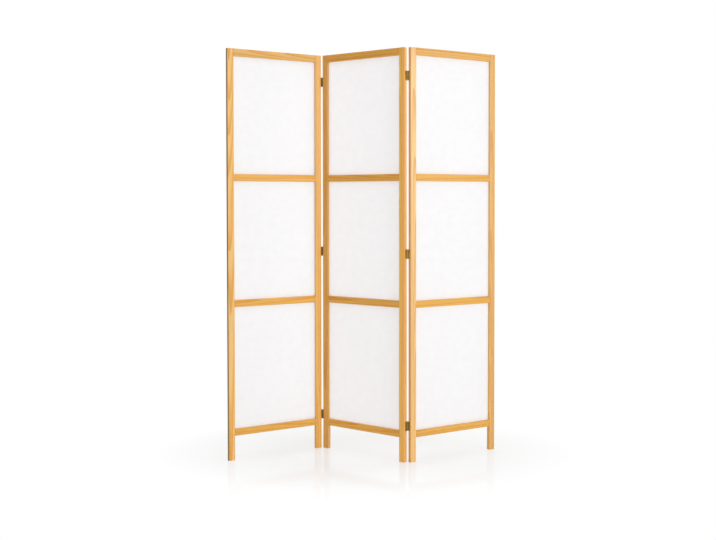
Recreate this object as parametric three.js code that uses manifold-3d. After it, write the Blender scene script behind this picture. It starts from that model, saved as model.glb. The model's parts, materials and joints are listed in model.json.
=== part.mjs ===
// Shoji folding screen: three framed panels of stretched white cloth, hinged in a zigzag.
// Millimetres. Z is up, X runs along the row of panels and the front faces -Y. The origin is on the
// floor, at the middle of the middle panel.
import * as THREE from "three";
import { mergeVertices } from "three/addons/utils/BufferGeometryUtils.js";
import Module from "manifold-3d";

// ---- Driving dimensions -------------------------------------------------------------------------

// Frame of one panel
const PANEL_WIDTH = 420;
const FRAME_THICKNESS = 17;
const STILE_WIDTH = 27;
const TOP_RAIL_HEIGHT = 30;
const MIDDLE_RAIL_HEIGHT = 28;
const BOTTOM_RAIL_HEIGHT = 28;
const LEG_HEIGHT = 101.5; // from the floor to the bottom rail
const LOWER_OPENING_HEIGHT = 507;
const CENTRE_OPENING_HEIGHT = 493;
const UPPER_OPENING_HEIGHT = 484.5;
const EDGE_RADIUS = 1.2; // eased long edges of every bar

// Joinery
const FIT = 0.3; // clearance between pieces that touch
const TENON_LENGTH = 14;
const TENON_THICKNESS = 6;
const GROOVE_DEPTH = 5; // groove for the cloth, and the shoulder above and below each tenon

// Cloth
const CLOTH_THICKNESS = 0.8;
const CLOTH_SETBACK = 9; // from the front of the frame to the front of the cloth

// Hinges
const HINGE_LENGTH = 38;
const LEAF_THICKNESS = 1.2;
const LEAF_COVER = 12.8; // how far a leaf reaches across the edge of its stile
const LEAF_PARTING = 1; // gap between the two leaves when the panels lie in line
const KNUCKLE_COUNT = 5;
const PIN_DIAMETER = 2.8;
const PIN_HEAD_DIAMETER = 4.6;
const PIN_HEAD_HEIGHT = 0.9;
const LOW_HINGE_HEIGHT = 148; // middle of the hinge above the floor
const CENTRE_HINGE_HEIGHT = 857;
const TOP_HINGE_DROP = 114; // middle of the hinge below the top of the panel

// Wood screws, two in each leaf
const SCREW_SPACING = 22;
const SCREW_LENGTH = 14;
const SCREW_DIAMETER = 2.6;
const SCREW_HEAD_DIAMETER = 5;
const HEAD_GROOVE_WIDTH = 0.3; // ring left round each countersunk head
const HEAD_GROOVE_DEPTH = 0.35;
const CROSS_SLOT_WIDTH = 0.8;
const CROSS_SLOT_LENGTH = 3;

// Zigzag
const REST_FOLD_DEGREES = 62.4; // how far each joint is folded away from a straight row

// Facets of the round parts
const EDGE_FACETS = 2; // on each eased edge
const KNUCKLE_SIDES = 14;
const PIN_SIDES = 12;
const SCREW_SIDES = 8;

// ---- Worked-out dimensions ----------------------------------------------------------------------

const halfWidth = PANEL_WIDTH / 2;
const halfThickness = FRAME_THICKNESS / 2;
const openingWidth = PANEL_WIDTH - 2 * STILE_WIDTH;

// Rails and openings stacked from the floor up. Each entry is [name, lowest z, highest z].
const stack = [];
let level = LEG_HEIGHT;
for (const [name, height] of [
  ["bottom_rail", BOTTOM_RAIL_HEIGHT],
  ["lower_pane", LOWER_OPENING_HEIGHT],
  ["lower_rail", MIDDLE_RAIL_HEIGHT],
  ["centre_pane", CENTRE_OPENING_HEIGHT],
  ["upper_rail", MIDDLE_RAIL_HEIGHT],
  ["upper_pane", UPPER_OPENING_HEIGHT],
  ["top_rail", TOP_RAIL_HEIGHT],
]) {
  stack.push([name, level, level + height]);
  level += height;
}
const panelHeight = level;
const rails = stack.filter(([name]) => name.endsWith("rail"));
const openings = stack.filter(([name]) => name.endsWith("pane"));
const bottomRail = rails[0];
const topRail = rails[rails.length - 1];

const clothMiddle = -halfThickness + CLOTH_SETBACK + CLOTH_THICKNESS / 2; // y of the cloth
const grooveWidth = CLOTH_THICKNESS + 2 * FIT;
const clothTuck = GROOVE_DEPTH - FIT; // how far the cloth reaches into the groove

const boreRadius = PIN_DIAMETER / 2 + FIT;
const knuckleRadius = boreRadius + LEAF_THICKNESS; // a knuckle is the leaf rolled round the pin
const pinOffset = knuckleRadius + FIT; // from the face of the frame out to the pin
const stileGap = LEAF_PARTING + 2 * (LEAF_THICKNESS + FIT); // between stiles that lie in line
const pinSide = halfWidth + stileGap / 2; // pin position, measured from the middle of a panel
const pinFace = halfThickness + pinOffset;
const knucklePitch = HINGE_LENGTH / KNUCKLE_COUNT;
const screwReach = pinOffset + LEAF_COVER / 2; // from the pin to the line of screws
const hingeHeights = {
  low: LOW_HINGE_HEIGHT,
  centre: CENTRE_HINGE_HEIGHT,
  top: panelHeight - TOP_HINGE_DROP,
};
const headTaper = (SCREW_HEAD_DIAMETER - SCREW_DIAMETER) / 2; // depth of a 90 degree head

// ---- Materials ----------------------------------------------------------------------------------

const varnishedPine = () =>
  new THREE.MeshStandardMaterial({ color: 0xd9a055, roughness: 0.38, metalness: 0 });
const whiteCloth = () =>
  new THREE.MeshStandardMaterial({ color: 0xf3f2ef, roughness: 0.9, metalness: 0 });
const antiqueBrass = () =>
  new THREE.MeshStandardMaterial({ color: 0x9a7030, roughness: 0.42, metalness: 1 });

// ---- Solids -------------------------------------------------------------------------------------

const wasm = await Module();
wasm.setup();

// A closed solid of a three.js geometry, ready to be joined or cut.
function solid(geometry) {
  const bare = geometry.index ? geometry.toNonIndexed() : geometry;
  bare.deleteAttribute("normal");
  bare.deleteAttribute("uv");
  const merged = mergeVertices(bare, 1e-4);
  return new wasm.Manifold(
    new wasm.Mesh({
      numProp: 3,
      vertProperties: new Float32Array(merged.attributes.position.array),
      triVerts: new Uint32Array(merged.index.array),
    }),
  );
}

// A named mesh of a finished solid.
function namedMesh(name, shape, material) {
  const { vertProperties, triVerts } = shape.getMesh();
  const geometry = new THREE.BufferGeometry();
  geometry.setAttribute("position", new THREE.BufferAttribute(vertProperties, 3));
  geometry.setIndex(new THREE.BufferAttribute(triVerts, 1));
  geometry.computeVertexNormals();
  const mesh = new THREE.Mesh(geometry, material);
  mesh.name = name;
  return mesh;
}

// A block between two corners.
function block([x0, y0, z0], [x1, y1, z1]) {
  const geometry = new THREE.BoxGeometry(x1 - x0, y1 - y0, z1 - z0);
  geometry.translate((x0 + x1) / 2, (y0 + y1) / 2, (z0 + z1) / 2);
  return solid(geometry);
}

// A bar of rectangular section along Z with eased long edges, standing on z = 0.
function easedBar(width, thickness, length) {
  const x = width / 2;
  const y = thickness / 2;
  const r = EDGE_RADIUS;
  const section = new THREE.Shape();
  section.absarc(x - r, y - r, r, 0, Math.PI / 2);
  section.absarc(-x + r, y - r, r, Math.PI / 2, Math.PI);
  section.absarc(-x + r, -y + r, r, Math.PI, 1.5 * Math.PI);
  section.absarc(x - r, -y + r, r, 1.5 * Math.PI, 2 * Math.PI);
  return new THREE.ExtrudeGeometry(section, {
    depth: length,
    bevelEnabled: false,
    curveSegments: EDGE_FACETS / 2, // an arc gets twice this many
  });
}

// A round solid about Z from [radius, z] pairs that start and end on the axis.
function turned(profile, sides) {
  return new THREE.LatheGeometry(profile.map(([r, z]) => new THREE.Vector2(r, z)), sides)
    .rotateX(Math.PI / 2);
}

// ---- Wooden frame -------------------------------------------------------------------------------

// The mortise in a stile for one rail's tenon. inner is the x of the stile's inner face.
function mortise([, low, high], inner, side) {
  const deep = inner + side * (TENON_LENGTH + FIT);
  const y = TENON_THICKNESS / 2 + FIT;
  return block(
    [Math.min(inner - side, deep), -y, low + GROOVE_DEPTH - FIT],
    [Math.max(inner - side, deep), y, high - GROOVE_DEPTH + FIT],
  );
}

// The groove for the cloth along a stile's inner face.
function stileGroove(inner, side) {
  const deep = inner + side * GROOVE_DEPTH;
  return block(
    [Math.min(inner - side, deep), clothMiddle - grooveWidth / 2, bottomRail[2] - GROOVE_DEPTH],
    [Math.max(inner - side, deep), clothMiddle + grooveWidth / 2, topRail[1] + GROOVE_DEPTH],
  );
}

// Pilot holes for the screws of every hinge on one edge of a stile.
// edge is the x of that edge, side points out of it and face is -1 at the front, 1 at the back.
function pilotHoles(edge, side, face) {
  const profile = [
    [0, -1],
    [SCREW_DIAMETER / 2 + FIT, -1],
    [SCREW_DIAMETER / 2 + FIT, SCREW_LENGTH],
    [0, SCREW_LENGTH],
  ];
  const y = face * (pinFace - screwReach);
  const holes = Object.values(hingeHeights).flatMap((height) =>
    [-1, 1].map((end) => {
      const hole = turned(profile, SCREW_SIDES);
      hole.rotateY(-side * Math.PI / 2);
      hole.translate(edge, y, height + end * SCREW_SPACING / 2);
      return solid(hole);
    }),
  );
  return wasm.Manifold.union(holes);
}

// One stile. side is -1 on the left and 1 on the right; hinged is -1 or 1 where hinges are screwed
// to its outer edge near the front or the back, and 0 on a free edge.
function stile(side, hinged) {
  const bar = easedBar(STILE_WIDTH, FRAME_THICKNESS, panelHeight);
  bar.translate(side * (halfWidth - STILE_WIDTH / 2), 0, 0);
  const inner = side * openingWidth / 2;
  const cuts = rails.map((rail) => mortise(rail, inner, side));
  cuts.push(stileGroove(inner, side));
  if (hinged) cuts.push(pilotHoles(side * halfWidth, side, hinged));
  return solid(bar).subtract(wasm.Manifold.union(cuts));
}

// One rail with a stub tenon at each end and a groove along each edge that holds cloth.
function rail([name, low, high]) {
  const length = openingWidth - 2 * FIT;
  const bar = easedBar(high - low, FRAME_THICKNESS, length);
  bar.translate(0, 0, -length / 2);
  bar.rotateY(Math.PI / 2);
  bar.translate(0, 0, (low + high) / 2);
  const reach = openingWidth / 2 + TENON_LENGTH;
  const tenons = block(
    [-reach, -TENON_THICKNESS / 2, low + GROOVE_DEPTH],
    [reach, TENON_THICKNESS / 2, high - GROOVE_DEPTH],
  );
  let shape = solid(bar).add(tenons);
  const front = clothMiddle - grooveWidth / 2;
  const back = clothMiddle + grooveWidth / 2;
  if (name !== "bottom_rail") {
    shape = shape.subtract(block([-halfWidth, front, low - 1], [halfWidth, back, low + GROOVE_DEPTH]));
  }
  if (name !== "top_rail") {
    shape = shape.subtract(block([-halfWidth, front, high - GROOVE_DEPTH], [halfWidth, back, high + 1]));
  }
  return shape;
}

// ---- Cloth --------------------------------------------------------------------------------------

// The cloth in one opening, with its border tucked into the groove all round.
function pane([, low, high]) {
  const x = openingWidth / 2 + clothTuck;
  return block(
    [-x, clothMiddle - CLOTH_THICKNESS / 2, low - clothTuck],
    [x, clothMiddle + CLOTH_THICKNESS / 2, high + clothTuck],
  );
}

// ---- Hinges -------------------------------------------------------------------------------------
// A hinge is drawn about its pin, on z = 0 at mid height. Its leaves run towards +Y.

// The knuckles of one leaf are every second one, counted from the bottom.
function ownsKnuckle(index, first) {
  return index % 2 === first;
}

// A rolled knuckle between two heights.
function knuckle(low, high) {
  const ring = new THREE.Shape();
  ring.absarc(0, 0, knuckleRadius, 0, 2 * Math.PI);
  const bore = new THREE.Path();
  bore.absarc(0, 0, boreRadius, 0, 2 * Math.PI, true);
  ring.holes.push(bore);
  const geometry = new THREE.ExtrudeGeometry(ring, {
    depth: high - low,
    bevelEnabled: false,
    curveSegments: KNUCKLE_SIDES / 2,
  });
  geometry.translate(0, 0, low);
  return solid(geometry);
}

// The ring groove and the crossed slots that mark a screw head in the face of a leaf.
// They are cut from z = 0 downwards, with the head facing +Z.
function headMarks() {
  const outer = SCREW_HEAD_DIAMETER / 2;
  const inner = outer - HEAD_GROOVE_WIDTH;
  const wide = turned([[0, -HEAD_GROOVE_DEPTH], [outer, -HEAD_GROOVE_DEPTH], [outer, 1], [0, 1]], PIN_SIDES);
  const core = turned([[0, -2], [inner, -2], [inner, 2], [0, 2]], PIN_SIDES);
  const w = CROSS_SLOT_WIDTH / 2;
  const l = CROSS_SLOT_LENGTH / 2;
  const depth = HEAD_GROOVE_DEPTH * 2;
  return solid(wide)
    .subtract(solid(core))
    .add(block([-l, -w, -depth], [l, w, 1]))
    .add(block([-w, -l, -depth], [w, l, 1]));
}

// The shank of a screw below a leaf's face, pointing down from z = 0.
function screwShank() {
  const r = SCREW_DIAMETER / 2;
  const taper = SCREW_DIAMETER * 1.5; // length of the point
  return turned(
    [
      [0, -SCREW_LENGTH],
      [r, -SCREW_LENGTH + taper],
      [r, -headTaper],
      [0, -headTaper],
    ],
    SCREW_SIDES,
  );
}

// One leaf with its knuckles and its two screws. side is -1 or 1 for the leaf towards -X or +X.
function leaf(side, first) {
  const near = LEAF_PARTING / 2;
  const far = near + LEAF_THICKNESS;
  const xs = side > 0 ? [near, far] : [-far, -near];
  const half = HINGE_LENGTH / 2;
  const biteStart = boreRadius + FIT / 2; // the plate runs into the wall of the knuckles
  let shape = block([xs[0], biteStart, -half], [xs[1], pinOffset + LEAF_COVER, half]);
  for (let index = 0; index < KNUCKLE_COUNT; index += 1) {
    const low = -half + index * knucklePitch + (index > 0 ? FIT / 2 : 0);
    const high = -half + (index + 1) * knucklePitch - (index < KNUCKLE_COUNT - 1 ? FIT / 2 : 0);
    if (ownsKnuckle(index, first)) {
      shape = shape.add(knuckle(low, high));
    } else {
      const room = block([xs[0] - 1, 0, low - FIT], [xs[1] + 1, knuckleRadius + FIT, high + FIT]);
      shape = shape.subtract(room);
    }
  }
  for (const end of [-1, 1]) {
    const height = end * SCREW_SPACING / 2;
    const shank = screwShank();
    const marks = headMarks();
    // The head faces the other leaf, and the point runs out into the stile.
    shank.rotateY(-side * Math.PI / 2);
    shank.translate(side * near, screwReach, height);
    shape = shape.add(solid(shank));
    shape = shape.subtract(marks.rotate([0, -side * 90, 0]).translate([side * near, screwReach, height]));
  }
  return shape;
}

// A pin with a domed head at each end.
function hingePin() {
  const half = HINGE_LENGTH / 2 + FIT;
  const r = PIN_DIAMETER / 2;
  const head = PIN_HEAD_DIAMETER / 2;
  const dome = 0.6 * head; // radius of the flat top of a head
  const profile = turned(
    [
      [0, -half - PIN_HEAD_HEIGHT],
      [dome, -half - PIN_HEAD_HEIGHT],
      [head, -half - PIN_HEAD_HEIGHT / 2],
      [head, -half],
      [r, -half],
      [r, half],
      [head, half],
      [head, half + PIN_HEAD_HEIGHT / 2],
      [dome, half + PIN_HEAD_HEIGHT],
      [0, half + PIN_HEAD_HEIGHT],
    ],
    PIN_SIDES,
  );
  return solid(profile);
}

// Puts one piece of every hinge of a joint into a panel's group.
// Pins on the front of the panels have face -1. Those on the back have face 1, turned half round.
function addHingePieces(group, joint, piece, side, face, makeShape) {
  for (const [place, height] of Object.entries(hingeHeights)) {
    const mesh = namedMesh(`${joint}_${place}_hinge_${piece}`, makeShape(), antiqueBrass());
    mesh.position.set(side * pinSide, face * pinFace, height);
    mesh.rotation.z = face > 0 ? Math.PI : 0;
    group.add(mesh);
  }
}

// ---- Panels -------------------------------------------------------------------------------------

// One panel about its own middle, standing on z = 0. leftHinged and rightHinged are as in stile().
function panel(name, leftHinged, rightHinged) {
  const group = new THREE.Group();
  group.add(namedMesh(`${name}_panel_left_stile`, stile(-1, leftHinged), varnishedPine()));
  group.add(namedMesh(`${name}_panel_right_stile`, stile(1, rightHinged), varnishedPine()));
  for (const entry of rails) {
    group.add(namedMesh(`${name}_panel_${entry[0]}`, rail(entry), varnishedPine()));
  }
  for (const entry of openings) {
    group.add(namedMesh(`${name}_panel_${entry[0]}`, pane(entry), whiteCloth()));
  }
  return group;
}

// Turns a panel to its heading and moves its pin line onto the middle panel's pin line.
// side says on which side of the middle panel it hangs, and face where the pins are.
function hang(group, middle, side, face) {
  const turn = THREE.MathUtils.degToRad(REST_FOLD_DEGREES / 2);
  const up = new THREE.Vector3(0, 0, 1);
  group.rotation.z = turn;
  const target = new THREE.Vector3(side * pinSide, face * pinFace, 0).applyAxisAngle(up, -turn);
  const own = new THREE.Vector3(-side * pinSide, face * pinFace, 0).applyAxisAngle(up, turn);
  group.position.copy(target.sub(own)).add(middle.position);
}

const FRONT = -1;
const BACK = 1;
const leftPanel = panel("left", 0, FRONT);
const middlePanel = panel("middle", FRONT, BACK);
const rightPanel = panel("right", BACK, 0);

// Each hinge's two-knuckle leaf is on the outer panel, and its three-knuckle leaf and pin on the
// middle one. Seen from its own pin, the middle panel's leaf is always the one towards +X.
addHingePieces(leftPanel, "left", "outer_leaf", 1, FRONT, () => leaf(-1, 1));
addHingePieces(middlePanel, "left", "inner_leaf", -1, FRONT, () => leaf(1, 0));
addHingePieces(middlePanel, "left", "pin", -1, FRONT, hingePin);
addHingePieces(rightPanel, "right", "outer_leaf", -1, BACK, () => leaf(-1, 1));
addHingePieces(middlePanel, "right", "inner_leaf", 1, BACK, () => leaf(1, 0));
addHingePieces(middlePanel, "right", "pin", 1, BACK, hingePin);

middlePanel.rotation.z = -THREE.MathUtils.degToRad(REST_FOLD_DEGREES / 2);
hang(leftPanel, middlePanel, -1, FRONT);
hang(rightPanel, middlePanel, 1, BACK);

const screen = new THREE.Group();
screen.add(leftPanel, middlePanel, rightPanel);

export default screen;
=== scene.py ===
"""Shoji folding screen: three timber frames that hold white screen cloth, hinged in a zigzag.

Lengths are metres unless a name or a comment says millimetres. Z is up, X runs along the row of
panels and the front faces -Y.
"""

import json
import math
import random

import bmesh
import bpy
from mathutils import Matrix, Vector, noise


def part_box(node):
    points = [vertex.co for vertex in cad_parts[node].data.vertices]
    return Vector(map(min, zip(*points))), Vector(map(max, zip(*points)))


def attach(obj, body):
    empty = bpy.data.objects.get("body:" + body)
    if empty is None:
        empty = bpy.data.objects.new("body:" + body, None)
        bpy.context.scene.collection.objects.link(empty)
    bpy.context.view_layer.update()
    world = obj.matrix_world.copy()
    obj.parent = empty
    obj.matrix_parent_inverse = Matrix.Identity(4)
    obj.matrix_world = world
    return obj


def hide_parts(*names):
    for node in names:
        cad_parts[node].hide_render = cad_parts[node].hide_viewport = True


bl_info = {
    "name": "Shoji Screen",
    "version": (1, 0, 0),
    "blender": (4, 5, 0),
    "location": "View3D > Sidebar > Shoji Screen",
    "description": "Finishes a three-panel shoji folding screen around its packed frame",
    "category": "Object",
}

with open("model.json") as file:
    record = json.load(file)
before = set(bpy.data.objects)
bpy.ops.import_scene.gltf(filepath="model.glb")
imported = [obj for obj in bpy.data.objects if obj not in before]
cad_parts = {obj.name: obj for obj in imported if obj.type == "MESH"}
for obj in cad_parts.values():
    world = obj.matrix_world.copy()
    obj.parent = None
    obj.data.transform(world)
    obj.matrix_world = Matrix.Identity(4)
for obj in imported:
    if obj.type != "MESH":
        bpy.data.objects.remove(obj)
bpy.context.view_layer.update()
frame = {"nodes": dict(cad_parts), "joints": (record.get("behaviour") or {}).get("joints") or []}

MM = 0.001

# ---- Pieces of the screen ------------------------------------------------------------------------

PANELS = ("left", "middle", "right")
STILES = ("left_stile", "right_stile")
RAILS = ("bottom_rail", "lower_rail", "upper_rail", "top_rail")
# Each opening with the rails below and above it.
OPENINGS = {
    "lower": ("bottom_rail", "lower_rail"),
    "centre": ("lower_rail", "upper_rail"),
    "upper": ("upper_rail", "top_rail"),
}
# Each joint with the outer panel that it folds. The left one has its pins on the front of the
# panels and the right one on the back.
JOINTS = {"left": "left_panel", "right": "right_panel"}
HINGE_PLACES = ("low", "centre", "top")
# Painted shade on the barrels of each joint, from 0 to 1: they are made browner, most at the left
# joint in the valley.
BARREL_PAINTED_SHADE = {"left": 0.95, "right": 0.6}
# Boards that are paler (above 0) or deeper than the others, as in the photo: partly their own tone
# and partly painted light and shade, with painted light on the stiles at the ridge and painted
# shade on the middle panel's left stile by the valley and on the far right stile.
BOARD_TONES_AND_PAINTED_LIGHT = {
    "left_panel_left_stile": 0.05,
    "left_panel_top_rail": -0.05,
    "left_panel_bottom_rail": -0.05,
    "middle_panel_left_stile": -0.08,
    "middle_panel_right_stile": 0.12,
    "middle_panel_top_rail": -0.01,
    "middle_panel_bottom_rail": 0.03,
    "right_panel_left_stile": 0.06,
    "right_panel_right_stile": -0.08,
    "right_panel_upper_rail": -0.05,
    "right_panel_top_rail": -0.06,
    "right_panel_bottom_rail": -0.06,
}
# Painted shade on the middle panel: boards with more latewood colour on their face, which makes
# them deeper orange, and how much more.
PAINTED_SHADE_BOARDS = ("middle_panel_left_stile", *(f"middle_panel_{rail}" for rail in RAILS))
PAINTED_SHADE_LATEWOOD = 0.17
# Boards with a creamier face, partly wood from the outside of the tree and partly painted sheen
# where the lamps catch them, and how much of it.
SAPWOOD_AND_SHEEN_SHARES = {
    "left_panel_left_stile": 0.45,
    "left_panel_top_rail": 0.2,
    "middle_panel_right_stile": 0.05,
    "right_panel_top_rail": 0.2,
    "right_panel_left_stile": 0.5,
    "right_panel_right_stile": 0.15,
}
# Gloss of the varnish. Upright fibres throw the light of the side lamps forward, and level ones
# don't. The film on some boards is rubbed matt.
STILE_GLOSS = 0.5
RAIL_GLOSS = 0.2
MATT_GLOSS = 0.08
MATT_BOARDS = ("left_panel_left_stile",)
# Boards whose left side face carries painted shade, and the tone of that side against the face.
PAINTED_SHADE_EDGES = {"left_panel_left_stile": 0.45, "right_panel_left_stile": 0.8}
PAINTED_SHADE_LINE = -13.2 * MM  # across the board from its middle, 0.3 mm in from the edge of a stile
PAINTED_SHADE_BLEND = 0.8 * MM  # from that line in to the plain face

# ---- Hinge dimensions in millimetres, as in the part's source ------------------------------------

FIT = 0.3  # clearance between pieces that touch
HINGE_LENGTH = 38
LEAF_THICKNESS = 1.2
LEAF_COVER = 12.8  # how far a leaf reaches across the edge of its stile
LEAF_PARTING = 1  # gap between the two leaves when the panels lie in line
KNUCKLE_COUNT = 5
PIN_DIAMETER = 2.8
PIN_HEAD_DIAMETER = 4.6
PIN_HEAD_HEIGHT = 0.9
SCREW_SPACING = 22
SCREW_LENGTH = 14
SCREW_HEAD_DIAMETER = 5
SCREW_NECK_DIAMETER = 2.6
THREAD_PITCH = 1.2
THREAD_HEIGHT = 0.35
THREAD_START = 2.4  # below the top of the head
POINT_LENGTH = 3.5
TIP_RADIUS = 0.15
RECESS_LENGTH = 3
RECESS_WIDTH = 0.8
RECESS_DEPTH = 1.1
RECESS_FOOT = (0.4, 0.7)  # size of its foot against its mouth, along and across
SINK_CLEARANCE = 0.12  # between a screw head and its countersink
SWAGE_RADIUS = 0.5  # inside curve where the plate runs into the knuckles
SEAM_ANGLE = 84  # degrees; where a rolled knuckle ends beside the plate

BORE_RADIUS = PIN_DIAMETER / 2 + FIT
KNUCKLE_RADIUS = BORE_RADIUS + LEAF_THICKNESS
PLATE_START = KNUCKLE_RADIUS + FIT  # from the pin out to the face of the frame
PLATE_END = PLATE_START + LEAF_COVER
SCREW_REACH = PLATE_START + LEAF_COVER / 2
NEAR_FACE = LEAF_PARTING / 2
FAR_FACE = NEAR_FACE + LEAF_THICKNESS

# ---- Facets --------------------------------------------------------------------------------------

KNUCKLE_STEP = 10  # degrees between the points of a knuckle's section
SWAGE_STEPS = 5
CORNER_SEGMENTS = 5
PIN_SIDES = 28
SCREW_SIDES = 20
SINK_SIDES = 36
DOME_STEPS = 6
THREAD_STEPS = 6  # rings in each turn of the thread
CLOTH_STEP = 6 * MM
SMOOTH_ANGLE = math.radians(32)

# ---- Sockets of a colour Mix node ----------------------------------------------------------------

MIX_FIRST = 6
MIX_SECOND = 7
MIX_COLOUR = 2


def linear(hex_colour):
    """A colour written as sRGB hex, such as "#E3AC5A", as linear red, green, blue and alpha."""
    channels = [int(hex_colour[i:i + 2], 16) / 255 for i in (1, 3, 5)]
    return (*(c / 12.92 if c <= 0.04045 else ((c + 0.055) / 1.055) ** 2.4 for c in channels), 1.0)


# ---- Settings ------------------------------------------------------------------------------------


class ShojiTimberSettings(bpy.types.PropertyGroup):
    """Colours and grain of the frames"""

    earlywood: bpy.props.FloatVectorProperty(
        name="Earlywood", description="Varnished wood between the dark lines of the grain",
        default=linear("#EFB558"), size=4, min=0, max=1, subtype="COLOR",
    )
    latewood: bpy.props.FloatVectorProperty(
        name="Latewood", description="Varnished wood on the dark lines of the grain",
        default=linear("#DC973B"), size=4, min=0, max=1, subtype="COLOR",
    )
    # Also the colour of the painted sheen on the boards with a creamier face.
    sapwood_and_sheen: bpy.props.FloatVectorProperty(
        name="Sapwood", description="Varnished wood on the boards from the outside of the tree",
        default=linear("#F4D09A"), size=4, min=0, max=1, subtype="COLOR",
    )
    ring_width: bpy.props.FloatProperty(
        name="Ring width", description="Thickness of one year's growth",
        default=3.4 * MM, min=0.5 * MM, max=12 * MM, subtype="DISTANCE", unit="LENGTH",
    )
    fibre_width: bpy.props.FloatProperty(
        name="Fibre width", description="Width of the fine streaks along the grain",
        default=0.7 * MM, min=0.1 * MM, max=3 * MM, subtype="DISTANCE", unit="LENGTH",
    )


class ShojiClothSettings(bpy.types.PropertyGroup):
    """Colour and hang of the cloth"""

    colour: bpy.props.FloatVectorProperty(
        name="Cloth", description="Colour of the screen cloth",
        default=linear("#F7F8F9"), size=4, min=0, max=1, subtype="COLOR",
    )
    lit_through: bpy.props.FloatVectorProperty(
        name="Lit through", description="Colour of the light that comes through the cloth",
        default=linear("#F8F5F6"), size=4, min=0, max=1, subtype="COLOR",
    )
    slack: bpy.props.FloatProperty(
        name="Slack", description="How far the stretched cloth wavers from flat",
        default=0.5 * MM, min=0, max=3 * MM, subtype="DISTANCE", unit="LENGTH",
    )
    fibre_width: bpy.props.FloatProperty(
        name="Fibre width", description="Width of the fibres that lie in the cloth",
        default=0.8 * MM, min=0.1 * MM, max=3 * MM, subtype="DISTANCE", unit="LENGTH",
    )


class ShojiHingeSettings(bpy.types.PropertyGroup):
    """Colours and softened corners of the hinges"""

    brass: bpy.props.FloatVectorProperty(
        name="Brass", description="Antique brass where it is rubbed clean",
        default=linear("#C8B070"), size=4, min=0, max=1, subtype="COLOR",
    )
    # Also the colour of the painted shade on the barrels.
    patina_and_shade: bpy.props.FloatVectorProperty(
        name="Patina", description="Browned brass",
        default=linear("#744E26"), size=4, min=0, max=1, subtype="COLOR",
    )
    corner_radius: bpy.props.FloatProperty(
        name="Corner radius", description="Rounding of the outer corners of a leaf",
        default=1.6 * MM, min=0, max=4 * MM, subtype="DISTANCE", unit="LENGTH",
    )
    edge_radius: bpy.props.FloatProperty(
        name="Edge radius", description="Softening of the stamped edges",
        default=0.14 * MM, min=0, max=0.4 * MM, subtype="DISTANCE", unit="LENGTH",
    )


class ShojiStudioSettings(bpy.types.PropertyGroup):
    """Floor, lamps and camera"""

    floor: bpy.props.FloatVectorProperty(
        name="Floor", description="Colour of the floor",
        default=linear("#F3F3F2"), size=4, min=0, max=1, subtype="COLOR",
    )
    room_light: bpy.props.FloatProperty(
        name="Room light", description="Even light from all around",
        default=0.2, min=0,
    )
    lens: bpy.props.FloatProperty(
        name="Lens", description="Focal length of the camera in millimetres",
        default=45.72, min=10, max=300,
    )


# ---- Places in the frame -------------------------------------------------------------------------


def heading(panel):
    """How far a panel is turned about Z. The lower limit of each joint is the straight row."""
    half_fold = math.radians(frame["joints"][0]["range_deg"][0] / 2)
    return half_fold if panel == "middle" else -half_fold


def panel_place(panel):
    """Panel coordinates, with X along the rails and the foot of the panel at the origin."""
    boxes = [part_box(f"{panel}_panel_{stile}") for stile in STILES]
    centre = sum((low + high for low, high in boxes), Vector()) / (2 * len(boxes))
    return Matrix.Translation((centre.x, centre.y, 0)) @ Matrix.Rotation(heading(panel), 4, "Z")


def hinge_place(joint, height, panel):
    """Hinge coordinates of the leaf on a panel, with the pin on Z and the leaf towards +Y."""
    low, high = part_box(f"{joint}_{height}_hinge_pin")
    turn = heading(panel) + (math.pi if joint == "right" else 0)
    return Matrix.Translation((low + high) / 2) @ Matrix.Rotation(turn, 4, "Z")


def corners_in(node, place):
    """Lowest and highest corner of a CAD node in the coordinates of a place."""
    inverse = place.inverted()
    points = [inverse @ vertex.co for vertex in frame["nodes"][node].data.vertices]
    low = Vector([min(point[i] for point in points) for i in range(3)])
    high = Vector([max(point[i] for point in points) for i in range(3)])
    return low, high


# ---- Pieces --------------------------------------------------------------------------------------


def add_piece(name, mesh, place, body, node):
    """Adds a piece at its place. It rides on a body and stands for a CAD node."""
    piece = bpy.data.objects.new(name, mesh)
    bpy.context.scene.collection.objects.link(piece)
    piece.matrix_world = place
    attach(piece, body)
    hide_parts(node)
    return piece


def mesh_of(name, bm):
    """A mesh of a finished bmesh, which is then freed."""
    bmesh.ops.recalc_face_normals(bm, faces=bm.faces)
    mesh = bpy.data.meshes.new(name)
    bm.to_mesh(mesh)
    bm.free()
    return mesh


def machined(mesh, cutters, edge_radius):
    """A mesh in metres of a blank in millimetres, less its cutters and with softened edges."""
    collection = bpy.context.scene.collection
    blank = bpy.data.objects.new("blank", mesh)
    tools = [bpy.data.objects.new("cutter", cutter) for cutter in cutters]
    for item in (blank, *tools):
        collection.objects.link(item)
    for tool in tools:
        cut = blank.modifiers.new("cut", "BOOLEAN")
        cut.operation = "DIFFERENCE"
        cut.solver = "EXACT"
        cut.object = tool
    ease = blank.modifiers.new("ease", "BEVEL")
    ease.width = edge_radius
    ease.segments = 2
    ease.limit_method = "ANGLE"
    ease.angle_limit = SMOOTH_ANGLE
    graph = bpy.context.evaluated_depsgraph_get()
    result = bpy.data.meshes.new_from_object(blank.evaluated_get(graph))
    for item in (blank, *tools):
        bpy.data.objects.remove(item)
    result.transform(Matrix.Scale(MM, 4))
    result.shade_smooth()
    result.set_sharp_from_angle(angle=SMOOTH_ANGLE)
    return result


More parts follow.
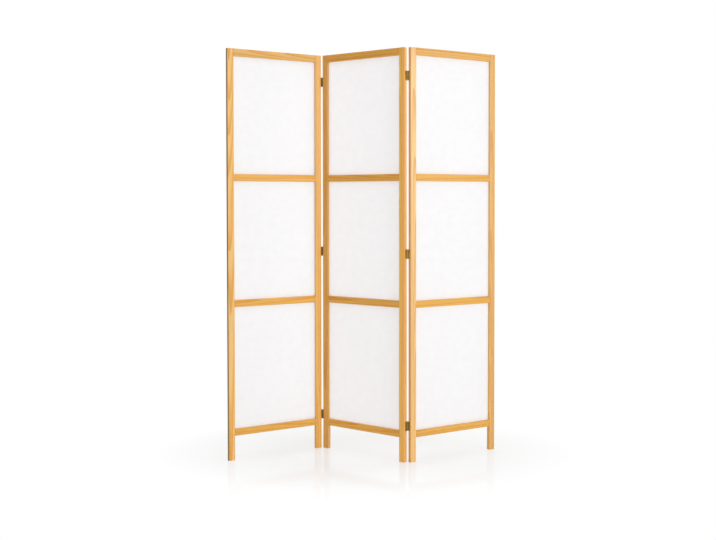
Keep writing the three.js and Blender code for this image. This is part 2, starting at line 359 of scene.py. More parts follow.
def turned(profile, sides, ridge=None):
    """A closed body about Z through (radius, height) pairs. ridge adds to the radius."""
    bm = bmesh.new()
    rings = []
    for radius, height in profile:
        ring = []
        for index in range(sides):
            angle = 2 * math.pi * index / sides
            reach = radius + (ridge(angle, height) if ridge else 0)
            ring.append(bm.verts.new((reach * math.cos(angle), reach * math.sin(angle), height)))
        rings.append(ring)
    for ring, following in zip(rings, rings[1:]):
        for index in range(sides):
            after = (index + 1) % sides
            bm.faces.new((ring[index], ring[after], following[after], following[index]))
    bm.faces.new(rings[0])
    bm.faces.new(rings[-1])
    return bm


# ---- Frames of varnished pine --------------------------------------------------------------------


def add_node(tree, kind, values=None, links=None, **settings):
    """Adds a node with its settings, the values of its sockets and links into its sockets."""
    node = tree.nodes.new(kind)
    for name, setting in settings.items():
        setattr(node, name, setting)
    for socket, value in (values or {}).items():
        node.inputs[socket].default_value = value
    for socket, source in (links or {}).items():
        tree.links.new(source, node.inputs[socket])
    return node


def new_material(name):
    """An empty material and its node tree."""
    material = bpy.data.materials.new(name)
    material.use_nodes = True
    material.node_tree.nodes.clear()
    return material, material.node_tree


def wandering_grain(tree, board, chance):
    """Coordinates of the log that a board is sawn from, bent as its grain wanders."""
    # The board is sawn 40 to 90 mm from the heart of the tree, and its grain runs slightly askew.
    heart = (chance.uniform(-0.02, 0.02), chance.uniform(0.04, 0.09), chance.uniform(-5, 5))
    askew = (math.radians(chance.uniform(-0.7, 0.7)), math.radians(chance.uniform(-0.7, 0.7)), 0)
    log = add_node(
        tree, "ShaderNodeMapping", {"Location": heart, "Rotation": askew}, {"Vector": board},
        vector_type="POINT",
    )
    # The grain strays by up to 9 mm in slow waves, some 90 mm across and 900 mm along.
    slow = add_node(
        tree, "ShaderNodeMapping", {"Scale": (1, 1, 0.1)}, {"Vector": log.outputs["Vector"]}
    )
    wander = add_node(
        tree, "ShaderNodeTexNoise", {"Scale": 1 / 0.09, "Detail": 1.5},
        {"Vector": slow.outputs["Vector"]},
    )
    offset = add_node(
        tree, "ShaderNodeVectorMath", {1: (0.5, 0.5, 0.5)}, {0: wander.outputs["Color"]},
        operation="SUBTRACT",
    )
    bent = add_node(
        tree, "ShaderNodeVectorMath", {1: (0.018, 0.018, 0)},
        {0: offset.outputs["Vector"], 2: log.outputs["Vector"]}, operation="MULTIPLY_ADD",
    )
    return bent.outputs["Vector"]


def ring_colour(tree, bar, grain, timber):
    """The colour of the year rings: pale earlywood that darkens to a sharp line of latewood."""
    # A ring pattern repeats every 2 pi / 20 units at scale 1.
    rings = add_node(
        tree, "ShaderNodeTexWave", {"Scale": 2 * math.pi / 20 / timber.ring_width},
        {"Vector": grain}, wave_type="RINGS", rings_direction="Z", wave_profile="SAW",
    )
    # Painted shade: the middle panel's boards take more latewood colour.
    shade_latewood = PAINTED_SHADE_LATEWOOD if bar in PAINTED_SHADE_BOARDS else 0
    late = add_node(
        tree, "ShaderNodeMapRange",
        {"From Min": 0.3, "From Max": 1, "To Min": shade_latewood, "To Max": 0.7 + shade_latewood},
        {"Value": rings.outputs["Fac"]}, interpolation_type="SMOOTHSTEP",
    )
    # Creamier faces: partly the outer wood of the tree, partly painted sheen.
    early = Vector(timber.earlywood).lerp(Vector(timber.sapwood_and_sheen), SAPWOOD_AND_SHEEN_SHARES.get(bar, 0))
    wood = add_node(
        tree, "ShaderNodeMix", {MIX_FIRST: early, MIX_SECOND: timber.latewood},
        {0: late.outputs["Result"]}, data_type="RGBA",
    )
    return wood.outputs[MIX_COLOUR]


def board_shade(tree, bar, board, drawn, fibres, chance):
    """How light the board is from place to place: its own tone, partly painted light and shade,
    broad streaks, fine fibres and painted shade on some side faces.
    """
    # Broad streaks, about 7 mm wide, that still show from across a room.
    streaks = add_node(
        tree, "ShaderNodeTexNoise", {"Scale": 1 / 0.014, "Detail": 2}, {"Vector": drawn}
    )
    # A random tone for each board, plus the listed tones, which are partly painted light and shade.
    tone_and_light = chance.uniform(-0.02, 0.02) + BOARD_TONES_AND_PAINTED_LIGHT.get(bar, 0)
    shade = add_node(
        tree, "ShaderNodeMapRange",
        {"From Min": 0.3, "From Max": 0.7, "To Min": 0.93 + tone_and_light, "To Max": 1.05 + tone_and_light},
        {"Value": streaks.outputs["Fac"]},
    )
    hair = add_node(
        tree, "ShaderNodeMapRange",
        {"From Min": 0.25, "From Max": 0.75, "To Min": 0.93, "To Max": 1.05}, {"Value": fibres},
    )
    depth = add_node(
        tree, "ShaderNodeMath", None, {0: shade.outputs["Result"], 1: hair.outputs["Result"]},
        operation="MULTIPLY",
    )
    # Painted shade: the left side face of these boards is darkened.
    if bar not in PAINTED_SHADE_EDGES:
        return depth.outputs["Value"]
    across = add_node(tree, "ShaderNodeSeparateXYZ", None, {"Vector": board})
    edge = add_node(
        tree, "ShaderNodeMapRange",
        {
            "From Min": PAINTED_SHADE_LINE, "From Max": PAINTED_SHADE_LINE + PAINTED_SHADE_BLEND,
            "To Min": PAINTED_SHADE_EDGES[bar], "To Max": 1,
        },
        {"Value": across.outputs["X"]},
    )
    painted_shade = add_node(
        tree, "ShaderNodeMath", None, {0: depth.outputs["Value"], 1: edge.outputs["Result"]},
        operation="MULTIPLY",
    )
    return painted_shade.outputs["Value"]


def varnished_pine(bar, centre, rotation, gloss, timber):
    """Clear-varnished pine, planed and sprayed: honey wood with soft streaks under a satin film.

    The eye sees long pale and darker streaks along each bar, a bar-to-bar change of tone that is
    partly painted light and shade, and a soft gloss on the faces that catch the light.
    """
    chance = random.Random(bar)
    material, tree = new_material(f"varnished_pine_{bar}")
    place = add_node(tree, "ShaderNodeTexCoord")
    board = add_node(
        tree, "ShaderNodeMapping", {"Location": centre, "Rotation": rotation},
        {"Vector": place.outputs["Object"]}, vector_type="TEXTURE",
    )
    grain = wandering_grain(tree, board.outputs["Vector"], chance)
    wood = ring_colour(tree, bar, grain, timber)
    # Fibres run 60 times as long as they are wide.
    drawn = add_node(tree, "ShaderNodeMapping", {"Scale": (1, 1, 1 / 60)}, {"Vector": grain})
    fibres = add_node(
        tree, "ShaderNodeTexNoise", {"Scale": 0.5 / timber.fibre_width, "Detail": 3},
        {"Vector": drawn.outputs["Vector"]},
    )
    shade = board_shade(
        tree, bar, board.outputs["Vector"], drawn.outputs["Vector"], fibres.outputs["Fac"], chance
    )
    colour = add_node(
        tree, "ShaderNodeVectorMath", None, {0: wood, "Scale": shade}, operation="SCALE"
    )
    film = add_node(
        tree, "ShaderNodeMapRange", {"To Min": 0.36, "To Max": 0.46},
        {"Value": fibres.outputs["Fac"]},
    )
    relief = add_node(
        tree, "ShaderNodeBump", {"Strength": 0.35, "Distance": 0.05 * MM},
        {"Height": fibres.outputs["Fac"]},
    )
    shader = add_node(
        tree, "ShaderNodeBsdfPrincipled",
        {"IOR": 1.5, "Specular IOR Level": gloss, "Coat Weight": gloss / 3, "Coat Roughness": 0.24},
        {
            "Base Color": colour.outputs["Vector"],
            "Roughness": film.outputs["Result"],
            "Normal": relief.outputs["Normal"],
        },
    )
    add_node(tree, "ShaderNodeOutputMaterial", None, {"Surface": shader.outputs["BSDF"]})
    return material


class SHOJI_OT_timber(bpy.types.Operator):
    """Gives each stile and rail its own board of clear-varnished pine"""

    bl_idname = "shoji.timber"
    bl_label = "Finish the Timber"

    def execute(self, context):
        timber = context.scene.shoji_timber
        for panel in PANELS:
            for bar in (*STILES, *RAILS):
                name = f"{panel}_panel_{bar}"
                low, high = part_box(name)
                # The grain runs along the bar, which lies on its side in a rail.
                tilt = math.pi / 2 if bar in RAILS else 0
                rotation = (0, tilt, heading(panel))
                gloss = RAIL_GLOSS if bar in RAILS else STILE_GLOSS
                if name in MATT_BOARDS:
                    gloss = MATT_GLOSS
                pine = varnished_pine(name, (low + high) / 2, rotation, gloss, timber)
                frame["nodes"][name].material_slots[0].material = pine
        return {"FINISHED"}


# ---- Screen cloth --------------------------------------------------------------------------------

LIGHT_THROUGH = 0.4  # share of the light that the cloth lets through
GROOVE_HOLD = 5 * MM  # width of the border that the groove holds flat
SLACK_RISE = 55 * MM  # from that border in to where the cloth is fully slack
WAVE_WIDTH = 120 * MM
WAVE_HEIGHT = 200 * MM
WAVE_SHIFT = 7.3  # between the waves of one cloth and the next


def laid_fibres(tree, place, fibre_width):
    """Where a fibre lies in the cloth, from 0 to 1."""
    strands = None
    # Fibres lie in three directions. Real ones are about 0.02 mm wide and are drawn wider to show.
    for turn in (20, 78, 137):
        laid = add_node(
            tree, "ShaderNodeMapping",
            {"Rotation": (0, math.radians(turn), 0), "Scale": (1, 1, 30)},
            {"Vector": place}, vector_type="TEXTURE",
        )
        fibres = add_node(
            tree, "ShaderNodeTexNoise", {"Scale": 0.5 / fibre_width, "Detail": 1},
            {"Vector": laid.outputs["Vector"]},
        )
        picked = add_node(
            tree, "ShaderNodeMapRange", {"From Min": 0.6, "From Max": 0.72},
            {"Value": fibres.outputs["Fac"]}, interpolation_type="SMOOTHSTEP",
        ).outputs["Result"]
        if strands:
            picked = add_node(
                tree, "ShaderNodeMath", None, {0: strands, 1: picked}, operation="MAXIMUM"
            ).outputs["Value"]
        strands = picked
    return strands


def screen_cloth(panel, cloth):
    """White non-woven screen cloth, pressed from long fibres: matt, even and lit through.

    The eye sees a soft white sheet with faint clouds and, from close by, single fibres.
    """
    material, tree = new_material(f"screen_cloth_{panel}")
    place = add_node(tree, "ShaderNodeTexCoord")
    # Clouds about 30 mm across, where the fibres lie thinner.
    clouds = add_node(
        tree, "ShaderNodeTexNoise", {"Scale": 1 / 0.03, "Detail": 3},
        {"Vector": place.outputs["Object"]},
    )
    density = add_node(
        tree, "ShaderNodeMapRange",
        {"From Min": 0.3, "From Max": 0.7, "To Min": 0.975, "To Max": 1.0},
        {"Value": clouds.outputs["Fac"]},
    )
    strands = laid_fibres(tree, place.outputs["Object"], cloth.fibre_width)
    thin = add_node(
        tree, "ShaderNodeMath", {1: -0.02}, {0: strands, 2: density.outputs["Result"]},
        operation="MULTIPLY_ADD",
    )
    colour = add_node(
        tree, "ShaderNodeVectorMath", {0: cloth.colour[:3]}, {"Scale": thin.outputs["Value"]},
        operation="SCALE",
    )
    relief = add_node(
        tree, "ShaderNodeBump", {"Strength": 0.3, "Distance": 0.05 * MM}, {"Height": strands}
    )
    face = add_node(
        tree, "ShaderNodeBsdfPrincipled", {"Roughness": 0.9, "Specular IOR Level": 0.15},
        {"Base Color": colour.outputs["Vector"], "Normal": relief.outputs["Normal"]},
    )
    glow = add_node(
        tree, "ShaderNodeVectorMath", {0: cloth.lit_through[:3]}, {"Scale": thin.outputs["Value"]},
        operation="SCALE",
    )
    through = add_node(
        tree, "ShaderNodeBsdfTranslucent", None, {"Color": glow.outputs["Vector"]}
    )
    both = add_node(
        tree, "ShaderNodeMixShader", {"Fac": LIGHT_THROUGH},
        {1: face.outputs["BSDF"], 2: through.outputs["BSDF"]},
    )
    add_node(tree, "ShaderNodeOutputMaterial", None, {"Surface": both.outputs["Shader"]})
    return material


def cloth_mesh(name, low, high, slack, seed):
    """The cloth of one opening in panel coordinates, flat in its groove and slightly slack."""
    columns = round((high.x - low.x) / CLOTH_STEP)
    rows = round((high.z - low.z) / CLOTH_STEP)
    plane = (low.y + high.y) / 2
    bm = bmesh.new()
    grid = []
    for row in range(rows + 1):
        z = low.z + (high.z - low.z) * row / rows
        line = []
        for column in range(columns + 1):
            x = low.x + (high.x - low.x) * column / columns
            edge = min(x - low.x, high.x - x, z - low.z, high.z - z)
            free = min(1, max(0, edge - GROOVE_HOLD) / SLACK_RISE)
            free = free * free * (3 - 2 * free)
            wave = noise.noise(Vector((x / WAVE_WIDTH, z / WAVE_HEIGHT, seed)))
            line.append(bm.verts.new((x, plane + slack * free * wave, z)))
        grid.append(line)
    for lower, upper in zip(grid, grid[1:]):
        for column in range(columns):
            bm.faces.new((lower[column], lower[column + 1], upper[column + 1], upper[column]))
    mesh = bpy.data.meshes.new(name)
    bm.to_mesh(mesh)
    bm.free()
    mesh.shade_smooth()
    return mesh


class SHOJI_OT_cloth(bpy.types.Operator):
    """Stretches white screen cloth in the nine openings"""

    bl_idname = "shoji.cloth"
    bl_label = "Stretch the Cloth"

    def execute(self, context):
        cloth = context.scene.shoji_cloth
        for number, panel in enumerate(PANELS):
            place = panel_place(panel)
            material = screen_cloth(panel, cloth)
            for row, (opening, rails) in enumerate(OPENINGS.items()):
                node = f"{panel}_panel_{opening}_pane"
                low, high = corners_in(node, place)
                seed = WAVE_SHIFT * (len(OPENINGS) * number + row)
                name = f"{panel}_panel_{opening}_cloth"
                mesh = cloth_mesh(name, low, high, cloth.slack, seed)
                mesh.materials.append(material)
                piece = add_piece(name, mesh, place, f"{panel}_panel", node)
        return {"FINISHED"}


# ---- Hinges of antique brass ---------------------------------------------------------------------


def tarnish_and_shade(tree, joint, place, moved):
    """How far the brass is browned from place to place, from 0 to 1: clouds of tarnish, and painted
    shade on the barrels.
    """
    # Clouds of tarnish, about 5 mm across.
    clouds = add_node(
        tree, "ShaderNodeTexNoise", {"Scale": 1 / (5 * MM), "Detail": 5, "Roughness": 0.6},
        {"Vector": moved},
    )
    mottled = add_node(
        tree, "ShaderNodeMapRange", {"From Min": 0.36, "From Max": 0.76, "To Max": 0.6},
        {"Value": clouds.outputs["Fac"]}, interpolation_type="SMOOTHSTEP",
    )
    # Painted shade: the barrel round the pin and the screws, which lie on Z, are made browner than
    # the leaves.
    across = add_node(tree, "ShaderNodeMapping", {"Scale": (1, 1, 0)}, {"Vector": place})
    reach = add_node(
        tree, "ShaderNodeVectorMath", None, {0: across.outputs["Vector"]}, operation="LENGTH"
    )
    painted_shade = add_node(
        tree, "ShaderNodeMapRange",
        {
            "From Min": KNUCKLE_RADIUS * MM, "From Max": (KNUCKLE_RADIUS + 1) * MM,
            "To Min": BARREL_PAINTED_SHADE[joint], "To Max": 0,
        },
        {"Value": reach.outputs["Value"]}, interpolation_type="SMOOTHSTEP",
    )
    both = add_node(
        tree, "ShaderNodeMath", None,
        {0: mottled.outputs["Result"], 1: painted_shade.outputs["Result"]}, operation="MAXIMUM",
    )
    return both.outputs["Value"]


def antique_brass(joint, hinge):
    """Antique brass plating on stamped steel: a warm dull metal, browned where it isn't rubbed,
    with painted shade on the barrels.
    """
    # Each joint gets its own copy, which differs only in the painted shade on its barrels.
    material, tree = new_material(f"antique_brass_{joint}")
    place = add_node(tree, "ShaderNodeTexCoord")
    part = add_node(tree, "ShaderNodeObjectInfo")
    # Each piece takes its tarnish from another place.
    moved = add_node(
        tree, "ShaderNodeVectorMath", {1: (3, 5, 7)},
        {0: part.outputs["Random"], 2: place.outputs["Object"]}, operation="MULTIPLY_ADD",
    )
    tarnish_and_barrel_shade = tarnish_and_shade(tree, joint, place.outputs["Object"], moved.outputs["Vector"])
    colour = add_node(
        tree, "ShaderNodeMix", {MIX_FIRST: hinge.brass, MIX_SECOND: hinge.patina_and_shade},
        {0: tarnish_and_barrel_shade}, data_type="RGBA",
    )
    dull = add_node(
        tree, "ShaderNodeMapRange", {"To Min": 0.32, "To Max": 0.52}, {"Value": tarnish_and_barrel_shade}
    )
    # Rolling marks 0.15 mm apart along the strip that the leaves are stamped from.
    strip = add_node(
        tree, "ShaderNodeMapping", {"Scale": (1, 1, 0.04)}, {"Vector": moved.outputs["Vector"]}
    )
    marks = add_node(
        tree, "ShaderNodeTexNoise", {"Scale": 0.5 / (0.15 * MM), "Detail": 2},
        {"Vector": strip.outputs["Vector"]},
    )
    relief = add_node(
        tree, "ShaderNodeBump", {"Strength": 0.25, "Distance": 0.02 * MM},
        {"Height": marks.outputs["Fac"]},
    )
    shader = add_node(
        tree, "ShaderNodeBsdfPrincipled", {"Metallic": 1.0},
        {
            "Base Color": colour.outputs[MIX_COLOUR],
            "Roughness": dull.outputs["Result"],
            "Normal": relief.outputs["Normal"],
        },
    )
    add_node(tree, "ShaderNodeOutputMaterial", None, {"Surface": shader.outputs["BSDF"]})
    return material


def arc(radius, start, end, step, centre=(0, 0)):
    """Points on an arc from one angle to another, both in degrees."""
    count = max(1, round(abs(end - start) / step))
    angles = [math.radians(start + (end - start) * index / count) for index in range(count + 1)]
    return [
        (centre[0] + radius * math.cos(angle), centre[1] + radius * math.sin(angle))
        for angle in angles
    ]


def leaf_outline():
    """The section of a rolled leaf: its plate, and its knuckle from the plate round and back."""
    plate = [
        (NEAR_FACE, PLATE_START),
        (NEAR_FACE, PLATE_END),
        (FAR_FACE, PLATE_END),
        (FAR_FACE, PLATE_START),
    ]
    swage_x = FAR_FACE + SWAGE_RADIUS
    swage_y = math.sqrt((KNUCKLE_RADIUS + SWAGE_RADIUS) ** 2 - swage_x ** 2)
    bend = math.degrees(math.atan2(swage_y, swage_x))
    seam = SEAM_ANGLE - 360
    leaves_bore = math.degrees(math.acos(NEAR_FACE / BORE_RADIUS))
    knuckle = arc(SWAGE_RADIUS, 180, 180 + bend, bend / SWAGE_STEPS, (swage_x, swage_y))
    knuckle += arc(KNUCKLE_RADIUS, bend, seam, KNUCKLE_STEP)[1:]
    knuckle += arc(BORE_RADIUS, seam, leaves_bore, KNUCKLE_STEP)
    return plate, knuckle


def knuckle_bands(first):
    """The heights along a leaf as (low, high, has a knuckle), from its lower end."""
    half = HINGE_LENGTH / 2
    pitch = HINGE_LENGTH / KNUCKLE_COUNT
    bands = []
    level = -half
    for index in range(first, KNUCKLE_COUNT, 2):
        low = -half + index * pitch + (FIT / 2 if index else 0)
        high = -half + (index + 1) * pitch - (FIT / 2 if index < KNUCKLE_COUNT - 1 else 0)
        if low > level:
            bands.append((level, low, False))
        bands.append((low, high, True))
        level = high
    if level < half:
        bands.append((level, half, False))
    return bands


def leaf_blank(first):
    """One leaf without its screw holes, on the +X side of the pin."""
    plate, knuckle = leaf_outline()
    bands = knuckle_bands(first)
    bm = bmesh.new()
    levels = [bands[0][0]] + [high for _, high, _ in bands]
    plates = [[bm.verts.new((x, y, z)) for x, y in plate] for z in levels]
    rolled = [False] + [has for _, _, has in bands] + [False]
    knuckles = [
        [bm.verts.new((x, y, z)) for x, y in knuckle] if rolled[i] or rolled[i + 1] else []
        for i, z in enumerate(levels)
    ]

    def wall(lower, upper):
        for index in range(len(lower) - 1):
            bm.faces.new((lower[index], lower[index + 1], upper[index + 1], upper[index]))

    for i, (_, _, has_knuckle) in enumerate(bands):
        wall(plates[i], plates[i + 1])
        ends = []
        for level in (i, i + 1):
            curl = knuckles[level] if has_knuckle else []
            ends.append([plates[level][-1], *curl, plates[level][0]])
        wall(*ends)
    for i in range(len(levels)):
        if rolled[i] != rolled[i + 1]:
            bm.faces.new((plates[i][-1], *knuckles[i], plates[i][0]))
    for end in (plates[0], plates[-1]):
        bm.faces.new(end)
    return bm


def round_corners(bm, radius):
    """Rounds the two outer corners of a leaf."""
    half = HINGE_LENGTH / 2

    def at_corner(vertex):
        return abs(vertex.co.y - PLATE_END) < 1e-4 and abs(abs(vertex.co.z) - half) < 1e-4

    corners = [edge for edge in bm.edges if all(at_corner(vertex) for vertex in edge.verts)]
    bmesh.ops.bevel(
        bm, geom=corners, offset=radius, offset_type="OFFSET", segments=CORNER_SEGMENTS,
        profile=0.5, affect="EDGES",
    )


def countersink(height, side):
    """The cutter for one screw hole, wide at the face that meets the other leaf."""
    head = SCREW_HEAD_DIAMETER / 2 + SINK_CLEARANCE
    neck = SCREW_NECK_DIAMETER / 2 + SINK_CLEARANCE
    # It runs on past both faces of the leaf.
    profile = [(neck, -3), (neck, neck - head), (head, 0), (head, 1)]
    bm = turned(profile, SINK_SIDES)
    bm.transform(screw_turn(side, height))
    return mesh_of("countersink", bm)


def screw_turn(side, height):
    """Screw coordinates, with the head facing +Z at the origin, to hinge coordinates."""
    place = Matrix.Translation((side * NEAR_FACE, SCREW_REACH, height))
    return place @ Matrix.Rotation(-side * math.pi / 2, 4, "Y")


def leaf_mesh(name, side, first, hinge):
    """A finished leaf in metres, on the -X or +X side of its pin."""
    bm = leaf_blank(first)
    round_corners(bm, hinge.corner_radius / MM)
    bm.transform(Matrix.Scale(side, 4, (1, 0, 0)))
    holes = [countersink(end * SCREW_SPACING / 2, side) for end in (-1, 1)]
    mesh = machined(mesh_of(name, bm), holes, hinge.edge_radius / MM)
    mesh.name = name
    return mesh


def pin_mesh(hinge):
    """The loose pin with its domed head at each end."""
    radius = PIN_DIAMETER / 2
    head = PIN_HEAD_DIAMETER / 2
    half = HINGE_LENGTH / 2 + FIT
    dome = []
    for step in range(DOME_STEPS):
        angle = math.pi / 2 * step / DOME_STEPS
        dome.append((head * math.cos(angle), half + PIN_HEAD_HEIGHT * math.sin(angle)))
    upper = [(radius, 0), (radius, half), *dome]
    lower = [(reach, -height) for reach, height in reversed(upper[1:])]
    blank = mesh_of("hinge_pin", turned(lower + upper, PIN_SIDES))
    return machined(blank, [], hinge.edge_radius / MM)


def thread_ridge(angle, height):
    """How far the thread stands out of the core of a screw, in millimetres."""
    depth = -height
    start = THREAD_START
    end = SCREW_LENGTH - POINT_LENGTH / 2
    if not start < depth < end:
        return 0
    # The thread fades out at both ends, and its ridge takes up half of the pitch.
    fade = min(1, (depth - start) / THREAD_PITCH, (end - depth) / THREAD_PITCH)
    turn = (depth / THREAD_PITCH + angle / (2 * math.pi)) % 1
    return THREAD_HEIGHT * fade * max(0, 1 - abs(turn - 0.5) * 4)


def recess_cutter(turn):
    """One wing of the cross recess, narrower at its foot."""
    bm = bmesh.new()
    bmesh.ops.create_cube(bm, size=1)
    for vertex in bm.verts:
        foot = vertex.co.z < 0
        vertex.co.x *= RECESS_LENGTH * (RECESS_FOOT[0] if foot else 1)
        vertex.co.y *= RECESS_WIDTH * (RECESS_FOOT[1] if foot else 1)
        vertex.co.z = -RECESS_DEPTH if foot else RECESS_DEPTH
    bm.transform(Matrix.Rotation(turn, 4, "Z"))
    return mesh_of("recess", bm)


def screw_mesh(hinge):
    """A countersunk wood screw with a cross recess, its head facing +Z at the origin."""
    head = SCREW_HEAD_DIAMETER / 2
    neck = SCREW_NECK_DIAMETER / 2
    core = neck - THREAD_HEIGHT
    profile = [(head, 0), (neck, neck - head), (core, -THREAD_START)]
    steps = round((SCREW_LENGTH - THREAD_START) * THREAD_STEPS / THREAD_PITCH)
    for step in range(1, steps + 1):
        depth = THREAD_START + (SCREW_LENGTH - THREAD_START) * step / steps
        taper = min(1, (SCREW_LENGTH - depth) / POINT_LENGTH)
        profile.append((TIP_RADIUS + (core - TIP_RADIUS) * taper, -depth))
    shaft = mesh_of("wood_screw", turned(profile, SCREW_SIDES, thread_ridge))
    cutters = [recess_cutter(turn) for turn in (0, math.pi / 2)]
    # Its edges are a third as soft as those of a leaf.
    return machined(shaft, cutters, hinge.edge_radius / MM / 3)


class SHOJI_OT_hinges(bpy.types.Operator):
    """Makes the rolled leaves and the pins of the six hinges"""

    bl_idname = "shoji.hinges"
    bl_label = "Make the Hinges"

    def execute(self, context):
        hinge = context.scene.shoji_hinges
        for joint, outer_body in JOINTS.items():
            outer = leaf_mesh("outer_leaf", -1, 1, hinge)
            inner = leaf_mesh("inner_leaf", 1, 0, hinge)
            pin = pin_mesh(hinge)
            brass = antique_brass(joint, hinge)
            for mesh in (outer, inner, pin):
                mesh.materials.append(brass)
            for height in HINGE_PLACES:
                name = f"{joint}_{height}_hinge"
                for kind, mesh, body in (
                    ("outer_leaf", outer, outer_body),
                    ("inner_leaf", inner, "middle_panel"),
                    ("pin", pin, "middle_panel"),
                ):
                    place = hinge_place(joint, height, body.removesuffix("_panel"))
                    piece = f"{name}_rolled_{kind}" if mesh is not pin else f"{name}_domed_pin"
                    add_piece(piece, mesh, place, body, f"{name}_{kind}")
        return {"FINISHED"}


class SHOJI_OT_screws(bpy.types.Operator):
    """Drives two countersunk screws through every leaf"""

    bl_idname = "shoji.screws"
    bl_label = "Drive the Screws"

    def execute(self, context):
        chance = random.Random(5)  # each cross recess points another way
        for joint, outer_body in JOINTS.items():
            mesh = screw_mesh(context.scene.shoji_hinges)
            mesh.materials.append(bpy.data.materials[f"antique_brass_{joint}"])
            for height in HINGE_PLACES:
                for kind, side, body in (("outer", -1, outer_body), ("inner", 1, "middle_panel")):
                    hinge = hinge_place(joint, height, body.removesuffix("_panel"))
                    for end, where in ((-1, "lower"), (1, "upper")):
                        place = hinge @ in_metres(screw_turn(side, end * SCREW_SPACING / 2))
                        place = place @ Matrix.Rotation(chance.uniform(0, math.pi), 4, "Z")
                        name = f"{joint}_{height}_hinge_{kind}_{where}_screw"
                        node = f"{joint}_{height}_hinge_{kind}_leaf"
                        add_piece(name, mesh, place, body, node)
        return {"FINISHED"}


def in_metres(place):
    """A place whose offset is in millimetres, with its offset in metres."""
    moved = place.copy()
    moved.translation = place.translation * MM
    return moved


# ---- Studio --------------------------------------------------------------------------------------

# The camera matches the photo: 1.08 m up, 3.82 m in front, turned slightly left and down.
CAMERA_PLACE = (0.2605, -3.8228, 1.0846)
CAMERA_YAW = math.radians(1.774)
CAMERA_PITCH = math.radians(1.5)
CAMERA_SHIFT = (-0.055, -0.0665)
SENSOR_WIDTH = 36
# Soft lamps: azimuth in degrees (0 in front, 90 on the right), distance, height, size and watts.
SOFTBOXES = {
    "key_softbox": (14, 4.6, 1.0, 2.4, 80),
    "sheen_softbox": (57, 5.0, 1.9, 2.0, 62),
    "right_softbox": (120, 5.5, 2.0, 2.4, 112),
    "back_softbox": (-170, 6.5, 3.9, 3.0, 82),
    "overhead_softbox": (0, 0.3, 3.8, 3.0, 28),
}
LAMP_AIM = Vector((0, 0, 0.95))
FLOOR_RADIUS = 30
FLOOR_SIDES = 64


def plain_sheet(tree, place, tint):
    """The sheet itself: matt and pale, with faint mottling about 40 mm across."""
    mottle = add_node(
        tree, "ShaderNodeTexNoise", {"Scale": 1 / 0.04, "Detail": 2}, {"Vector": place}
    )
    level = add_node(
        tree, "ShaderNodeMapRange", {"To Min": 0.99, "To Max": 1.01},
        {"Value": mottle.outputs["Fac"]},
    )
    colour = add_node(
        tree, "ShaderNodeVectorMath", {0: tint}, {"Scale": level.outputs["Result"]},
        operation="SCALE",
    )
    sheet = add_node(
        tree, "ShaderNodeBsdfPrincipled", {"Roughness": 0.6, "Specular IOR Level": 0},
        {"Base Color": colour.outputs["Vector"]},
    )
    return sheet.outputs["BSDF"]


def gloss_floor(studio):
    """White gloss sheet: even, with the soft shadow and a faint reflection of the screen on it."""
    material, tree = new_material("white_gloss_sheet")
    place = add_node(tree, "ShaderNodeTexCoord")
    # Shadow and reflection run out into the white backdrop on an oval round the screen.
    oval = add_node(
        tree, "ShaderNodeMapping", {"Location": (0, -0.1, 0), "Scale": (1.0, 1.6, 1)},
        {"Vector": place.outputs["Object"]},
    )
    away = add_node(
        tree, "ShaderNodeVectorMath", None, {0: oval.outputs["Vector"]}, operation="LENGTH"
    )
    fade = add_node(
        tree, "ShaderNodeMapRange",
        {"From Min": 0.35, "From Max": 0.9, "To Min": 0.66, "To Max": 1},
        {"Value": away.outputs["Value"]},
    )
    seen = add_node(
        tree, "ShaderNodeMath", None, {0: fade.outputs["Result"], 1: seen_ray(tree)},
        operation="MULTIPLY",
    )
    white = add_node(tree, "ShaderNodeEmission", {"Strength": 1.0})
    mixed = add_node(
        tree, "ShaderNodeMixShader", None,
        {
            "Fac": seen.outputs["Value"],
            1: plain_sheet(tree, place.outputs["Object"], studio.floor[:3]),
            2: white.outputs["Emission"],
        },
    )
    gloss = add_node(
        tree, "ShaderNodeBsdfGlossy", {"Color": linear("#FFFFFF"), "Roughness": 0.1}
    )
    share = add_node(
        tree, "ShaderNodeMapRange",
        {"From Min": 0.3, "From Max": 1.1, "To Min": 0.14, "To Max": 0},
        {"Value": away.outputs["Value"]},
    )
    both = add_node(
        tree, "ShaderNodeMixShader", None,
        {"Fac": share.outputs["Result"], 1: mixed.outputs["Shader"], 2: gloss.outputs["BSDF"]},
    )
    add_node(tree, "ShaderNodeOutputMaterial", None, {"Surface": both.outputs["Shader"]})
    return material


def seen_ray(tree):
    """1 for a ray that shows the backdrop: to the camera, in a reflection or through glass."""
    ray = add_node(tree, "ShaderNodeLightPath")
    shown = add_node(
        tree, "ShaderNodeMath", None,
        {0: ray.outputs["Is Camera Ray"], 1: ray.outputs["Is Glossy Ray"]}, operation="MAXIMUM",
    )
    shown = add_node(
        tree, "ShaderNodeMath", None,
        {0: shown.outputs["Value"], 1: ray.outputs["Is Transmission Ray"]}, operation="MAXIMUM",
    )
    return shown.outputs["Value"]


def white_room(scene, studio):
    """A world that is white to the eye and in reflections, and gives a low even light."""
    world = bpy.data.worlds.new("white_room")
    world.use_nodes = True
    tree = world.node_tree
    tree.nodes.clear()
    ambient = add_node(
        tree, "ShaderNodeBackground", {"Color": linear("#FFFFFF"), "Strength": studio.room_light}
    )
    white = add_node(
        tree, "ShaderNodeBackground", {"Color": linear("#FFFFFF"), "Strength": 1.0}
    )
    mixed = add_node(
        tree, "ShaderNodeMixShader", None,
        {"Fac": seen_ray(tree), 1: ambient.outputs["Background"], 2: white.outputs["Background"]},
    )
    add_node(tree, "ShaderNodeOutputWorld", None, {"Surface": mixed.outputs["Shader"]})
    scene.world = world


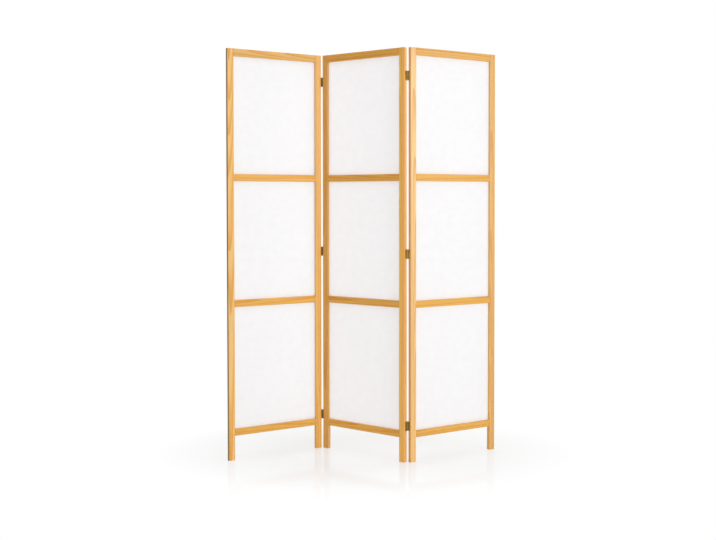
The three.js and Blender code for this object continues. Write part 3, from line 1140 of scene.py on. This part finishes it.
def add_floor(scene, studio):
    """A round floor under the screen."""
    bm = bmesh.new()
    bmesh.ops.create_circle(bm, cap_ends=True, radius=FLOOR_RADIUS, segments=FLOOR_SIDES)
    mesh = mesh_of("studio_floor", bm)
    mesh.materials.append(gloss_floor(studio))
    floor = bpy.data.objects.new("studio_floor", mesh)
    scene.collection.objects.link(floor)


def add_softbox(scene, name, azimuth, distance, height, size, power):
    """A square soft lamp round the screen, aimed at LAMP_AIM and not seen itself."""
    turn = math.radians(azimuth)
    data = bpy.data.lights.new(name, "AREA")
    data.shape = "SQUARE"
    data.size = size
    data.energy = power
    lamp = bpy.data.objects.new(name, data)
    lamp.location = (distance * math.sin(turn), -distance * math.cos(turn), height)
    lamp.rotation_euler = (LAMP_AIM - lamp.location).to_track_quat("-Z", "Y").to_euler()
    lamp.visible_camera = False
    scene.collection.objects.link(lamp)


def add_camera(scene, studio):
    """The camera of the photo."""
    data = bpy.data.cameras.new("camera")
    data.sensor_width = SENSOR_WIDTH
    data.lens = studio.lens
    data.shift_x, data.shift_y = CAMERA_SHIFT
    camera = bpy.data.objects.new("camera", data)
    camera.location = CAMERA_PLACE
    camera.rotation_euler = (math.pi / 2 - CAMERA_PITCH, 0, CAMERA_YAW)
    scene.collection.objects.link(camera)
    scene.camera = camera


class SHOJI_OT_studio(bpy.types.Operator):
    """Sets up the floor, the white room, the soft lamps and the camera"""

    bl_idname = "shoji.studio"
    bl_label = "Set Up the Studio"

    def execute(self, context):
        scene = context.scene
        studio = scene.shoji_studio
        scene.view_settings.view_transform = "Standard"
        add_floor(scene, studio)
        white_room(scene, studio)
        for name, settings in SOFTBOXES.items():
            add_softbox(scene, name, *settings)
        add_camera(scene, studio)
        return {"FINISHED"}


# ---- Panel in the sidebar ------------------------------------------------------------------------


class SHOJI_PT_screen(bpy.types.Panel):
    """The steps that make the screen, with their settings"""

    bl_idname = "SHOJI_PT_screen"
    bl_label = "Shoji Screen"
    bl_space_type = "VIEW_3D"
    bl_region_type = "UI"
    bl_category = "Shoji Screen"

    def draw(self, context):
        for name, settings, steps in SECTIONS:
            box = self.layout.box()
            box.label(text=settings.__doc__)
            group = getattr(context.scene, name)
            for setting in settings.__annotations__:
                box.prop(group, setting)
            for step in steps:
                box.operator(step.bl_idname)


# Each group of settings with the steps that read it, in the order in which they run.
SECTIONS = (
    ("shoji_studio", ShojiStudioSettings, (SHOJI_OT_studio,)),
    ("shoji_timber", ShojiTimberSettings, (SHOJI_OT_timber,)),
    ("shoji_cloth", ShojiClothSettings, (SHOJI_OT_cloth,)),
    ("shoji_hinges", ShojiHingeSettings, (SHOJI_OT_hinges, SHOJI_OT_screws)),
)


def register():
    """Registers the settings, the steps and the panel."""
    for name, settings, steps in SECTIONS:
        bpy.utils.register_class(settings)
        setattr(bpy.types.Scene, name, bpy.props.PointerProperty(type=settings))
        for step in steps:
            bpy.utils.register_class(step)
    bpy.utils.register_class(SHOJI_PT_screen)


def unregister():
    """Takes back what register() did, in the opposite order."""
    bpy.utils.unregister_class(SHOJI_PT_screen)
    for name, settings, steps in reversed(SECTIONS):
        for step in reversed(steps):
            bpy.utils.unregister_class(step)
        delattr(bpy.types.Scene, name)
        bpy.utils.unregister_class(settings)


def main():
    """Makes the whole screen in its studio."""
    register()
    bpy.ops.shoji.studio()
    bpy.ops.shoji.timber()
    bpy.ops.shoji.cloth()
    bpy.ops.shoji.hinges()
    bpy.ops.shoji.screws()


if __name__ == "__main__":
    main()
